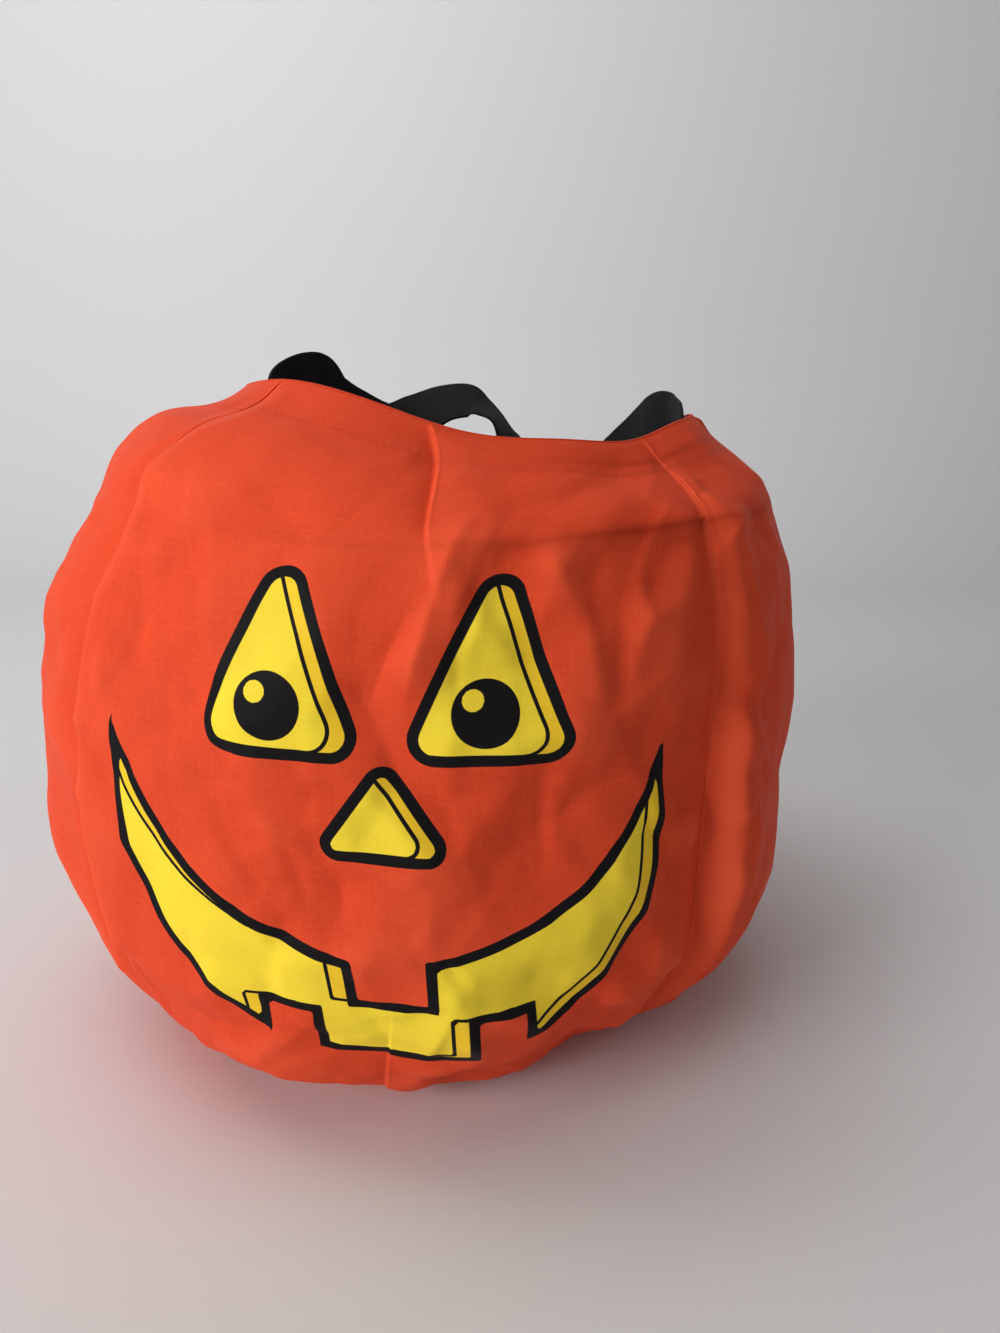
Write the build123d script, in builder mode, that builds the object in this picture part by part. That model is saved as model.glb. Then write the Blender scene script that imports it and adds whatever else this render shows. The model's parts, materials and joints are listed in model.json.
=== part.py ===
from build123d import *

import math
import os

# Driving dimensions of the pail, in millimetres
base_diameter = 160.0
girth_diameter = 242.0
girth_height = 92.0
hoop_level_diameter = 211.0
mouth_diameter = 140.0
mouth_height = 189.0
shoulder_drop = 23.0
collar_height = 1.5
wall = 1.0

# The slack cloth leans to the right above the girth
hoop_lean = 6.5
mouth_lean = 17.0

# How far the slack rim stands above or below its middle height.
# Each turn, in degrees from the right side, is that of a seam or of the middle of a panel.
rim_rises = {0: 0.5, 45: -8.0, 90: -10.5, 135: 1.0, 180: 10.0, 225: 10.5, 270: -2.5, 315: -4.5}

# Depth to which the seams and the darts are drawn in
seam_tuck = 4.0
dart_tuck = 2.2
seam_relief = 0.4

# Turned-in hem of the mouth
facing_depth = 14.0
facing_thickness = 0.8

# Spring hoop and the tape sewn round it
wire_diameter = 2.0
wire_end_gap = 1.0
tape_thickness = 0.6
tape_slit = 0.5
tape_opening = 26.0
ferrule_length = 14.0
ferrule_wall = 0.5
sewing_clearance = 0.05

# Strap handle
strap_width = 19.0
strap_thickness = 1.2
strap_end_thickness = 1.6
strap_end_foot = 20.0
strap_end_drop = 1.0
strap_back_gap = 8.6
hinge_drop = 4.5
swing_clearance = 0.35

# Sizes that follow from the driving dimensions
base_radius = base_diameter / 2
girth_radius = girth_diameter / 2
hoop_level_radius = hoop_level_diameter / 2
mouth_radius = mouth_diameter / 2
hoop_height = mouth_height - shoulder_drop
rim_height = mouth_height + collar_height
hinge_height = rim_height - hinge_drop
wire_radius = wire_diameter / 2

# The cloth is cut into four equal panels, each with a dart at the top and the bottom of its middle line
panel_turns = {"right_panel": 0, "back_panel": 90, "left_panel": 180, "front_panel": 270}
half_panel_angle = 45.0
lobe_angle = 22.5
lobe_round_share = 0.26
least_tuck_share = 0.04
roof_seam_share = 0.45
lower_dart_share = 0.55

# Profile of the cloth from the base to the girth, the girth to the hoop and the hoop to the mouth.
# Each pair holds the shares of the way up and of the way out or in.
lower_profile_shares = [(0.00, 0.00), (0.11, 0.32), (0.27, 0.64), (0.50, 0.89), (1.00, 1.00)]
upper_profile_shares = [(0.35, 0.07), (0.70, 0.40), (1.00, 1.00)]
roof_profile_shares = [(0.38, 0.11), (0.66, 0.38), (0.85, 0.70), (1.00, 1.00)]
mouth_edge_share = 3.0
profile_spans = 26

# The hoop's ends meet at the back
back_angle = 90.0
hoop_steps = 40

# The lying strap seen from the front.
# Each pair holds the share of its half span to the side and the share of its width up from the hinge line.
strap_wave_shares = [
    (-1.30, -0.70),
    (-1.00, 0.06),
    (-0.86, 0.45),
    (-0.67, 0.16),
    (-0.46, -0.02),
    (-0.24, 0.28),
    (0.00, 0.46),
    (0.22, -0.26),
    (0.45, -0.68),
    (0.68, -0.66),
    (0.87, -0.20),
    (1.00, 0.06),
    (1.30, 0.30),
]


def between(low, high, share):
    """A value on the way from low to high."""
    return low + (high - low) * share


def profile_points(shares, low_ring, high_ring):
    """Points of the profile between two rings, each given as (outer radius, height)."""
    return [
        (between(low_ring[0], high_ring[0], out_share), between(low_ring[1], high_ring[1], up_share))
        for up_share, out_share in shares
    ]


base_ring = (base_radius, wall)
girth_ring = (girth_radius, girth_height)
hoop_ring = (hoop_level_radius, hoop_height)
mouth_ring = (mouth_radius + wall * mouth_edge_share, mouth_height)
with BuildLine() as profile:
    Spline(
        *profile_points(lower_profile_shares, base_ring, girth_ring),
        *profile_points(upper_profile_shares, girth_ring, hoop_ring),
        *profile_points(roof_profile_shares, hoop_ring, mouth_ring),
    )
cloth_curve = profile.edges()[0]


def roof_share(height):
    """How far up the roof a height is: 0 at and below the hoop, and 1 at the mouth."""
    return max((height - hoop_height) / shoulder_drop, 0)


def lean(height):
    """How far the middle of the pail stands to the right at a height."""
    if height > hoop_height:
        return between(hoop_lean, mouth_lean, roof_share(height))
    rise_share = max((height - girth_height) / (hoop_height - girth_height), 0)
    return hoop_lean * rise_share**2


def swell(value, low, high):
    """Half a wave that is 0 at and beyond low and high, and 1 half way between them."""
    share = min(max((value - low) / (high - low), 0), 1)
    return math.sin(math.pi * share)


def seam_inset(height):
    """How far a seam is drawn in: most at half height, and hardly at all at the base, hoop and mouth."""
    roof_swell = roof_seam_share * swell(height, hoop_height, mouth_height)
    return seam_tuck * max(swell(height, wall, hoop_height), roof_swell, least_tuck_share)


def dart_inset(height):
    """How far a dart is drawn in: on the roof, and over the lower part of the wall."""
    lower_share = swell(height, wall, lower_dart_share * girth_height)
    return dart_tuck * max(lower_share, swell(height, hoop_height, mouth_height), least_tuck_share)


def polar(radius, angle):
    """A point of a ring seen from above, with the angle in degrees."""
    return (radius * math.cos(math.radians(angle)), radius * math.sin(math.radians(angle)))


def lobe_points(radius, height, turn, relief=0.0):
    """Five points round a ring of a panel, seen from above: seam, lobe, dart, lobe and seam.

    The turn is that of the panel's middle, and the relief is how far the seams stay back from their planes.
    """
    seam = seam_inset(height)
    dart = dart_inset(height)
    lobe_radius = radius - lobe_round_share * (seam - dart)
    seam_angle = half_panel_angle - math.degrees(relief / radius)
    ring = (
        polar(radius - seam, turn - seam_angle),
        polar(lobe_radius, turn - lobe_angle),
        polar(radius - dart, turn),
        polar(lobe_radius, turn + lobe_angle),
        polar(radius - seam, turn + seam_angle),
    )
    return [(lean(height) + across, depth) for across, depth in ring]


def panel_plane(radius, height, turn):
    """The plane of a panel's section at a level: through both seams and the dart, which rise as the rim does."""
    ring = lobe_points(radius, height, turn)
    turns = (turn - half_panel_angle, turn, turn + half_panel_angle)
    first, middle, last = (
        Vector(*point, height + rim_rises[round(angle) % 360] * roof_share(height))
        for point, angle in zip(ring[::2], turns)
    )
    return Plane(origin=middle, x_dir=last - first, z_dir=(middle - first).cross(last - middle))


def drawn_on(plane, points):
    """Points seen from above, as points of a sketch on a plane that they are set upright on."""
    flat = []
    for across, depth in points:
        aside = (across - plane.origin.X) * plane.z_dir.X + (depth - plane.origin.Y) * plane.z_dir.Y
        place = plane.to_local_coords(Vector(across, depth, plane.origin.Z - aside / plane.z_dir.Z))
        flat.append((place.X, place.Y))
    return flat


def draw_cloth_section(outer, inner):
    """A panel cut through at one level: two arcs outside, two inside and a short line at each seam."""
    ThreePointArc(outer[0], outer[1], outer[2])
    ThreePointArc(outer[2], outer[3], outer[4])
    Line(outer[4], inner[4])
    ThreePointArc(inner[4], inner[3], inner[2])
    ThreePointArc(inner[2], inner[1], inner[0])
    Line(inner[0], outer[0])


def cloth_level(share):
    """The outer radius, inner radius and height of the cloth at a share of the way along its profile."""
    place = cloth_curve @ share
    steepness = abs((cloth_curve % share).Y)
    thickness = wall * min(1 / steepness, mouth_edge_share)
    return (place.X, place.X - thickness, place.Y)


# Four cloth panels, each a ruled loft through the sections up its profile: level ones up to the hoop, and
# above it ones that tilt with the rim
cloth_levels = [cloth_level(span / profile_spans) for span in range(profile_spans + 1)]
os.makedirs("parts", exist_ok=True)
for panel_name, panel_turn in panel_turns.items():
    with BuildPart() as panel:
        for outer_radius, inner_radius, height in cloth_levels:
            plane = panel_plane(outer_radius, height, panel_turn)
            outer = lobe_points(outer_radius, height, panel_turn)
            inner = lobe_points(inner_radius, height, panel_turn, seam_relief * roof_share(height))
            with BuildSketch(plane):
                with BuildLine():
                    draw_cloth_section(drawn_on(plane, outer), drawn_on(plane, inner))
                make_face()
        loft(ruled=True)
    panel.part.label = panel_name
    export_step(panel.part, f"parts/{panel_name}.step")

# Round cloth base, under the lower edges of the panels
with BuildPart() as base_panel:
    with BuildSketch(Plane.XY):
        Circle(base_radius)
    extrude(amount=wall)
base_panel.part.label = "base_panel"
export_step(base_panel.part, "parts/base_panel.step")

# Hem of the mouth: a low collar on the edge of the cloth, turned in and down inside it.
# Each panel carries a quarter of it, cut off level with that panel's edge.
hem_bands = (
    (mouth_radius + wall, mouth_radius, 0.0),
    (mouth_radius, mouth_radius - facing_thickness, collar_height - facing_depth),
)
with BuildPart() as mouth_facing:
    for panel_turn in panel_turns.values():
        edge_plane = panel_plane(*cloth_levels[-1][::2], panel_turn)
        for band_radius, band_bore, band_foot in hem_bands:
            with BuildPart(mode=Mode.PRIVATE) as quarter:
                with BuildSketch(Plane((mouth_lean, 0, girth_height)).rotated((0, 0, panel_turn))):
                    with BuildLine():
                        corners = [polar(2 * band_radius, angle) for angle in (-half_panel_angle, half_panel_angle)]
                        Polyline((0, 0), *corners, close=True)
                    make_face()
                    Circle(band_radius, mode=Mode.INTERSECT)
                    Circle(band_bore, mode=Mode.SUBTRACT)
                extrude(amount=2 * mouth_height)
                split(bisect_by=edge_plane.moved(Location((0, 0, collar_height))), keep=Keep.BOTTOM)
                split(bisect_by=edge_plane.moved(Location((0, 0, band_foot))), keep=Keep.TOP)
            add(quarter.part)
mouth_facing.part.label = "mouth_facing"
export_step(mouth_facing.part, "parts/mouth_facing.step")

# The hoop lies in its tape against the inside of the wall
tape_bore_radius = wire_radius + sewing_clearance
tape_radius = tape_bore_radius + tape_thickness
tape_room = tape_bore_radius + max(tape_thickness, ferrule_wall) + sewing_clearance


def hoop_radius_beside(radius, height):
    """The largest hoop that keeps its tape clear of a ring of the wall at one height."""
    rise = min(abs(height - hoop_height), tape_room)
    return radius - math.sqrt(tape_room**2 - rise**2)


def wall_line(turn):
    """The inside of the wall above a turn, as distances from the hoop's axis and heights."""
    inset = dart_inset if turn in panel_turns.values() else seam_inset
    return [
        (
            inner_radius - inset(height) + (lean(height) - hoop_lean) * math.cos(math.radians(turn)),
            height + rim_rises[turn] * roof_share(height),
        )
        for _, inner_radius, height in cloth_levels
    ]


# The seams and the darts come in furthest, so the hoop is set against points close together up them
hoop_radius = hoop_level_radius
for wall_turn in rim_rises:
    rings = wall_line(wall_turn)
    for low_ring, high_ring in zip(rings, rings[1:]):
        for step in range(hoop_steps):
            radius = between(low_ring[0], high_ring[0], step / hoop_steps)
            height = between(low_ring[1], high_ring[1], step / hoop_steps)
            if abs(height - hoop_height) < tape_room:
                hoop_radius = min(hoop_radius, hoop_radius_beside(radius, height))


def arc_angle(length):
    """The angle in degrees that a length along the hoop spans."""
    return math.degrees(length / hoop_radius)


def hoop_plane(length):
    """A standing plane across the hoop, half a length past the middle of the back."""
    turn = math.radians(back_angle + arc_angle(length) / 2)
    outward = Vector(math.cos(turn), math.sin(turn), 0)
    along = Vector(-math.sin(turn), math.cos(turn), 0)
    return Plane(
        origin=(hoop_lean + hoop_radius * outward.X, hoop_radius * outward.Y, hoop_height),
        x_dir=outward,
        z_dir=-along,
    )


hoop_axis = Axis((hoop_lean, 0, hoop_height), (0, 0, 1))

with BuildPart() as hoop_wire:
    with BuildSketch(hoop_plane(wire_end_gap)):
        Circle(wire_radius)
    revolve(axis=hoop_axis, revolution_arc=360 - arc_angle(wire_end_gap))
hoop_wire.part.label = "hoop_wire"
export_step(hoop_wire.part, "parts/hoop_wire.step")

with BuildPart() as hoop_channel:
    with BuildSketch(hoop_plane(tape_opening)):
        Circle(tape_radius)
        Circle(tape_bore_radius, mode=Mode.SUBTRACT)
        with Locations((tape_radius / 2, 0)):
            Rectangle(tape_radius, tape_slit, mode=Mode.SUBTRACT)
    revolve(axis=hoop_axis, revolution_arc=360 - arc_angle(tape_opening))
hoop_channel.part.label = "hoop_channel"
export_step(hoop_channel.part, "parts/hoop_channel.step")

with BuildPart() as hoop_ferrule:
    with BuildSketch(hoop_plane(-ferrule_length)):
        Circle(tape_bore_radius + ferrule_wall)
        Circle(tape_bore_radius, mode=Mode.SUBTRACT)
    revolve(axis=hoop_axis, revolution_arc=arc_angle(ferrule_length))
hoop_ferrule.part.label = "hoop_ferrule"
export_step(hoop_ferrule.part, "parts/hoop_ferrule.step")

# Ends of the strap, sewn to the inside of the hem with their flat faces to the mouth
seat_radius = mouth_radius - facing_thickness
strap_end_face = seat_radius - strap_end_thickness
half_width = strap_width / 2
seat_edge = math.sqrt(seat_radius**2 - half_width**2)

for end_name, end_turn in {"right_strap_end": 0, "left_strap_end": 180}.items():
    with BuildPart() as strap_end:
        end_bottom = hinge_height - strap_end_foot
        end_top = rim_height + rim_rises[end_turn] - strap_end_drop
        with BuildSketch(Plane((mouth_lean, 0, end_bottom)).rotated((0, 0, end_turn))):
            with BuildLine():
                ThreePointArc((seat_edge, -half_width), (seat_radius, 0), (seat_edge, half_width))
                Polyline(
                    (seat_edge, half_width),
                    (strap_end_face, half_width),
                    (strap_end_face, -half_width),
                    (seat_edge, -half_width),
                )
            make_face()
        extrude(amount=end_top - end_bottom)
    strap_end.part.label = end_name
    export_step(strap_end.part, f"parts/{end_name}.step")

# Free length of the strap: it stands on edge along half an ellipse round the back, and rises and dips
strap_half_span = strap_end_face - swing_clearance - strap_thickness / 2
strap_reach = seat_radius - strap_back_gap - strap_thickness / 2


def strap_edge(offset):
    """Points of an edge of the strap, seen from the front, at an offset from its middle line."""
    return [
        (strap_half_span * side_share, hinge_height + strap_width * rise_share + offset)
        for side_share, rise_share in strap_wave_shares
    ]


upper_edge = strap_edge(half_width)
lower_edge = strap_edge(-half_width)

with BuildPart() as handle_strap:
    with BuildSketch(Plane((mouth_lean, 0, 0))):
        Ellipse(strap_half_span + strap_thickness / 2, strap_reach + strap_thickness / 2)
        Ellipse(strap_half_span - strap_thickness / 2, strap_reach - strap_thickness / 2, mode=Mode.SUBTRACT)
        with Locations((0, strap_reach)):
            Rectangle(2 * mouth_diameter, 2 * strap_reach, mode=Mode.INTERSECT)
    extrude(amount=rim_height + strap_width)
    with BuildSketch(Plane((mouth_lean, 0, 0), x_dir=(1, 0, 0), z_dir=(0, -1, 0))):
        with BuildLine():
            Spline(*upper_edge)
            Line(upper_edge[-1], lower_edge[-1])
            Spline(*lower_edge)
            Line(lower_edge[0], upper_edge[0])
        make_face()
    extrude(amount=mouth_diameter, both=True, mode=Mode.INTERSECT)
handle_strap.part.label = "handle_strap"
export_step(handle_strap.part, "parts/handle_strap.step")
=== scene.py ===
"""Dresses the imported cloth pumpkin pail: panels, print, hem, hoop tape, strap, stitches, stage and camera."""
import functools
import json
import math
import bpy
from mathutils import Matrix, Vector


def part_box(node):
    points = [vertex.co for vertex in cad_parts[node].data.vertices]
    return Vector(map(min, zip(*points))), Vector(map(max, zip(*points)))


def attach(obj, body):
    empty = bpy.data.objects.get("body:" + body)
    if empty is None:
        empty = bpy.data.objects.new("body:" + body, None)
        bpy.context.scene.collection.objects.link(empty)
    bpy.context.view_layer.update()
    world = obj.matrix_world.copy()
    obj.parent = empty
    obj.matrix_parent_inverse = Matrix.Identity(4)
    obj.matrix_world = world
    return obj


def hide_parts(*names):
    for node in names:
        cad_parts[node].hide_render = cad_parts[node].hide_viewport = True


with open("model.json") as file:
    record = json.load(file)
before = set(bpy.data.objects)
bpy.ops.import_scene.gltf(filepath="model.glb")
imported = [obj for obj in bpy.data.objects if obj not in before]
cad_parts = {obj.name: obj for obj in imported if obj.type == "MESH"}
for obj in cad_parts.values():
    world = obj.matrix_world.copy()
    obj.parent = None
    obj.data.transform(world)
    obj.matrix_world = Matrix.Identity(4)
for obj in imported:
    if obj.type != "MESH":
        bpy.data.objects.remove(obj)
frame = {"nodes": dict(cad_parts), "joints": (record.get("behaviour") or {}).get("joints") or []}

from types import SimpleNamespace

import bmesh
import bpy
import numpy as np

bl_info = {
    "name": "Cloth pumpkin pail",
    "version": (1, 0, 0),
    "blender": (4, 5, 0),
    "location": "3D View > Sidebar > Pail",
    "description": "Builds the cloth, print, strap, thread and stage of a sewn pumpkin pail",
    "category": "Object",
}

# Units and the box of the solid model
mm = 0.001
full_turn = 2 * math.pi
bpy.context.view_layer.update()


def middle_and_half(node):
    """The middle and the half size of a node of the solid model."""
    low, high = (np.array(corner, float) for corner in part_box(node))
    return (low + high) / 2, (high - low) / 2


# Sizes read from the solid model
hem_middle, hem_half = middle_and_half("mouth_facing")
wire_middle, wire_half = middle_and_half("hoop_wire")
end_middle, end_half = middle_and_half("right_strap_end")
base_radius = middle_and_half("base_panel")[1][0]
girth_radius = -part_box("front_panel")[0][1]
mouth_radius = hem_half[0]
mouth_lean = hem_middle[0]
hoop_height = wire_middle[2]
hoop_lean = wire_middle[0]
hoop_ring_radius = wire_half[0] - wire_half[2]
tape_radius = middle_and_half("hoop_channel")[1][2]
strap_width = 2 * end_half[1]
strap_span = end_middle[0] - mouth_lean
hinge_height = frame["joints"][0]["pos_m"][2]

# Thickness, levels and sizes of the cloth
cloth_thickness = 0.45 * mm
base_top = 1.0 * mm
girth_height = 92 * mm
hoop_cloth_radius = 105.5 * mm
hem_depth = 14 * mm
rim_over_hinge = 4.5 * mm
rim_over_mouth = 1.5 * mm
rim_height = hinge_height + rim_over_hinge
mouth_height = rim_height - rim_over_mouth

# The rings that the cloth is drawn through, from the base to the rim.
# Each row holds a share of the way up and out, then, in millimetres, how much the ring is higher, wider and
# leans more than in the solid model, how far its right side and its front are lifted, and, last, the share of
# the rim's own lifts that it takes.
base_to_girth = [
    (0.00, 0.00, 0.0, 0.0, -3.0, 0.0, 0.0, 0.0),
    (0.11, 0.32, 0.0, 1.5, 0.0, 0.0, 0.0, 0.0),
    (0.27, 0.64, 0.0, 1.5, 1.0, 0.0, 0.0, 0.0),
    (0.50, 0.89, 0.0, 1.5, 1.0, 0.0, 0.0, 0.0),
    (1.00, 1.00, 0.0, 1.0, 0.0, 0.0, 0.0, 0.0),
]
girth_to_hoop = [
    (0.35, 0.07, 0.0, 1.5, -2.0, 0.0, 0.0, 0.0),
    (0.70, 0.40, 0.0, 2.0, -2.9, 0.0, 0.0, 0.0),
    (1.00, 1.00, 0.0, 0.5, -1.5, -0.5, 0.0, 0.0),
]
hoop_to_mouth = [
    (0.38, 0.11, 1.0, -0.5, -3.0, -4.0, -4.0, 0.20),
    (0.66, 0.38, 0.8, -0.5, -1.5, -5.5, -3.6, 0.50),
    (0.85, 0.70, -0.2, -1.0, 0.5, -2.8, -1.8, 0.75),
    (1.00, 1.00, 0.0, 0.5, 0.0, -0.5, 0.0, 0.95),
]
rim_row = (1.00, 1.00, 0.0, 0.0, -0.3, 0.0, 0.0, 1.00)
mouth_flare = 2.0 * mm

# Lifts of the rim at every 15 degrees round from the right side, in millimetres
rim_lifts = [
    0.7, -2.0, -7.0, -10.5, -11.5, -11.5, -10.5, -8.0, -4.0, 0.5, 4.5, 8.0,
    9.5, 9.7, 10.2, 10.5, 8.2, 3.0, -2.6, -4.6, -5.5, -5.2, -1.7, 0.2,
]

# Where the mouth is drawn in: turn in degrees, depth in millimetres and half width in degrees
mouth_draws = [(322, 2.5, 20)]

# Pouches of slack cloth: turn in degrees, height and depth in millimetres, and half widths in both units
pouches = [
    (194, 70, 5.0, 24, 17),
    (218, 10, 5.5, 26, 20),
    (318, 6, -4.0, 22, 20),
]

# The panels and the turn of the middle of each, in degrees from the right side
panel_turns = {"right_panel": 0, "back_panel": 90, "left_panel": 180, "front_panel": 270}
half_panel = math.radians(45)
panel_columns = 210
panel_rows = 216
ring_columns = 320
fold_seed = 11


def smooth(value, low, high):
    """A step from 0 at low to 1 at high that starts and ends level."""
    share = np.clip((value - low) / (high - low), 0, 1)
    return share * share * (3 - 2 * share)


def bump(value, middle, width):
    """A bell of height 1 round a middle: exp of minus the square of the distance in widths."""
    return np.exp(-(((value - middle) / width) ** 2))


def ring_rows():
    """One row per ring: height, radius, lean, lifts of its right and front, and its share of the rim's."""
    rows = []
    spans = (
        (base_to_girth, (base_top, base_radius, 0.0), (girth_height, girth_radius, 0.0)),
        (girth_to_hoop, (girth_height, girth_radius, 0.0), (hoop_height, hoop_cloth_radius, hoop_lean)),
        (hoop_to_mouth, (hoop_height, hoop_cloth_radius, hoop_lean),
         (mouth_height, mouth_radius + mouth_flare, mouth_lean)),
        ([rim_row], (rim_height, mouth_radius, mouth_lean), (rim_height, mouth_radius, mouth_lean)),
    )
    for table, low, high in spans:
        for up, out, higher, wider, leaning, right, front, share in table:
            height = low[0] + (high[0] - low[0]) * up + higher * mm
            radius = low[1] + (high[1] - low[1]) * out + wider * mm
            lean = low[2] + (high[2] - low[2]) * up + leaning * mm
            rows.append([height, radius, lean, right * mm, front * mm, share])
    return np.array(rows)


def rim_lift(turn):
    """How far the rim is lifted at turns in radians: a sum of waves through the listed lifts."""
    waves = np.fft.rfft(rim_lifts) * mm / len(rim_lifts)
    order = np.arange(1, len(waves) - 1)[:, None]
    swings = waves[1:-1, None] * np.exp(1j * order * turn)
    return waves[0].real + 2 * swings.real.sum(axis=0)


def turn_apart(turn, middle):
    """Degrees from a middle to turns in radians, from -180 to 180."""
    return (np.degrees(turn) - middle + 180) % 360 - 180


def smooth_line(points, places):
    """A smooth curve through rows of points: cubic pieces whose slopes come from the neighbouring rows.

    points has a first axis of rows, and places, from 0 to 1, picks a place along the rows for each column.
    """
    steps = np.linalg.norm(np.diff(points.mean(axis=1), axis=0), axis=1)
    knots = np.concatenate([[0], np.cumsum(np.sqrt(steps))])
    knots /= knots[-1]
    slopes = np.gradient(points, knots, axis=0)
    row = np.clip(np.searchsorted(knots, places, side="right") - 1, 0, len(knots) - 2)
    column = np.arange(points.shape[1])
    gap = (knots[row + 1] - knots[row])[:, None]
    share = (places - knots[row])[:, None] / gap
    start, end = points[row, column], points[row + 1, column]
    start_slope, end_slope = slopes[row, column] * gap, slopes[row + 1, column] * gap
    return (
        (2 * share**3 - 3 * share**2 + 1) * start
        + (share**3 - 2 * share**2 + share) * start_slope
        + (3 * share**2 - 2 * share**3) * end
        + (share**3 - share**2) * end_slope
    )


def smooth_cloth(turn, rise):
    """The cloth without seams or folds, at turns in radians and at rises from 0 at the base to 1 at the rim.

    Each ring is a circle whose middle leans to the right. It is lifted by cos(turn), by a bell round the front
    and by its share of the rim's lifts, and the mouth is drawn in by bells in turn. Each pouch pushes the cloth
    out by a bell in turn and height.
    """
    height, radius, lean, right, front, share = ring_rows().T[:, :, None]
    lift = right * np.cos(turn) + front * bump(turn_apart(turn, 275), 0, 48) + share * rim_lift(turn)
    drawn = sum(depth * mm * bump(turn_apart(turn, middle), 0, width) for middle, depth, width in mouth_draws)
    radius = radius - share * drawn
    rings = np.stack([lean + radius * np.cos(turn), radius * np.sin(turn), height + lift], axis=-1)
    points = smooth_line(rings, rise)
    for middle, level, depth, turn_width, level_width in pouches:
        bell = bump(turn_apart(turn, middle), 0, turn_width) * bump(points[:, 2], level * mm, level_width * mm)
        points[:, 0] += depth * mm * bell * np.cos(turn)
        points[:, 1] += depth * mm * bell * np.sin(turn)
    return points


def grid_normals(points):
    """Outward unit normals of a grid of points whose rows go up and whose columns go anticlockwise."""
    across = np.gradient(points, axis=1)
    along = np.gradient(points, axis=0)
    normals = np.cross(across, along)
    return normals / np.linalg.norm(normals, axis=-1, keepdims=True)


def path_lengths(points, axis):
    """Distances along a grid of points from its first row or column."""
    steps = np.linalg.norm(np.diff(points, axis=axis), axis=-1)
    start = np.zeros_like(np.take(steps, [0], axis=axis))
    return np.concatenate([start, np.cumsum(steps, axis=axis)], axis=axis)


def fold_height(across, along, fold):
    """Height of one fold, a crest along a straight line that falls away on both sides and fades at its ends.

    fold holds the ends (across, along), the height and the half width, in millimetres.
    The height is exp(-distance / width), with the crest rounded over a tenth of the width.
    """
    start_across, start_along, end_across, end_along, height, width = (value * mm for value in fold)
    run = np.array([end_across - start_across, end_along - start_along])
    length = np.hypot(*run)
    run /= length
    forward = (across - start_across) * run[0] + (along - start_along) * run[1]
    aside = (along - start_along) * run[0] - (across - start_across) * run[1]
    rounded = np.sqrt(aside**2 + (0.1 * width) ** 2) - 0.1 * width
    fade = smooth(forward, -0.25 * length, 0.25 * length) * smooth(-forward, -1.25 * length, -0.75 * length)
    return height * fade * np.exp(-rounded / width)


# Folds at given places: ends (across, along), height and half width, in millimetres
right_folds = [
    (-76, 172, -82, 66, 0.8, 2.6),
    (-40, 160, -46, 90, -0.9, 6.0),
    (-72, 120, -58, 96, 0.7, 3.0),
]
front_folds = [
    (13, 186, 5, 146, 3.0, 7.0),
    (19, 176, 16, 148, -1.5, 6.0),
    (3, 162, -3, 146, -1.2, 2.6),
    (20, 184, 13, 160, 0.9, 5.0),
    (34, 179, 47, 163, 1.3, 5.0),
    (47, 164, 51, 144, 1.6, 5.0),
    (56, 166, 58, 132, -1.4, 6.0),
    (38, 130, 39, 106, -1.5, 4.0),
    (78, 182, 74, 150, 1.0, 6.0),
    (66, 148, 80, 136, 0.9, 5.0),
    (-54, 152, -39, 130, -1.5, 4.5),
    (-40, 133, -36, 129, -0.9, 1.8),
    (-39, 131, -14, 125, 0.8, 3.0),
    (-23, 110, -20, 95, -1.2, 3.5),
    (-30, 116, -14, 104, 0.8, 3.5),
    (-72, 186, -66, 150, -1.2, 6.0),
    (-58, 196, -54, 160, 0.9, 7.0),
    (-81, 170, -77, 136, 1.0, 4.0),
    (-38, 194, -22, 181, -0.9, 5.0),
    (-24, 96, 52, 88, 0.6, 2.6),
    (-12, 105, 10, 103, 0.7, 3.0),
    (16, 71, -6, 62, 1.4, 3.6),
    (16, 71, 7, 46, 1.6, 4.0),
    (16, 71, 22, 44, 1.4, 3.8),
    (16, 71, 36, 58, 1.5, 3.8),
    (16, 71, 10, 84, 1.0, 3.4),
    (34, 74, 44, 70, -1.1, 4.0),
    (-20, 60, -34, 44, 1.1, 3.6),
    (-46, 70, -60, 52, 0.9, 4.0),
    (36, 36, 54, 56, -1.4, 5.0),
    (-8, 128, 16, 104, 0.8, 4.0),
    (56, 104, 70, 84, 1.0, 5.0),
]
chosen_folds = {"front_panel": front_folds, "right_panel": right_folds}

# Folds at random places on each panel
random_fold_count = 70
hanging_fold_count = 7
pucker_count = 26

# The cloth that facets cover, from corner to corner (across, along), in millimetres
facet_corners = ((-110, -5), (110, 245))


def random_folds(draw, count):
    """Small folds at random places and directions, most of them steep, and heights that are mostly small."""
    middle_across = draw.uniform(-92, 92, count)
    middle_along = draw.uniform(6, 224, count)
    direction = draw.normal(math.radians(90), math.radians(40), count)
    half_length = draw.uniform(4, 22, count)
    height = draw.choice([-1, 1], count) * draw.uniform(0.12, 0.5, count)
    width = draw.uniform(1.3, 5.0, count)
    reach_across = half_length * np.cos(direction)
    reach_along = half_length * np.sin(direction)
    return np.stack(
        [
            middle_across - reach_across,
            middle_along - reach_along,
            middle_across + reach_across,
            middle_along + reach_along,
            height,
            width,
        ],
        axis=1,
    )


def hanging_folds(draw, count):
    """Long soft folds that hang from the hoop and die out near the girth."""
    across = draw.uniform(-84, 84, count)
    top = draw.uniform(176, 196, count)
    bottom = draw.uniform(96, 150, count)
    drift = draw.uniform(-10, 10, count)
    height = draw.choice([-1, 1], count) * draw.uniform(0.5, 1.2, count)
    width = draw.uniform(5, 10, count)
    return np.stack([across, top, across + drift, bottom, height, width], axis=1)


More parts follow.
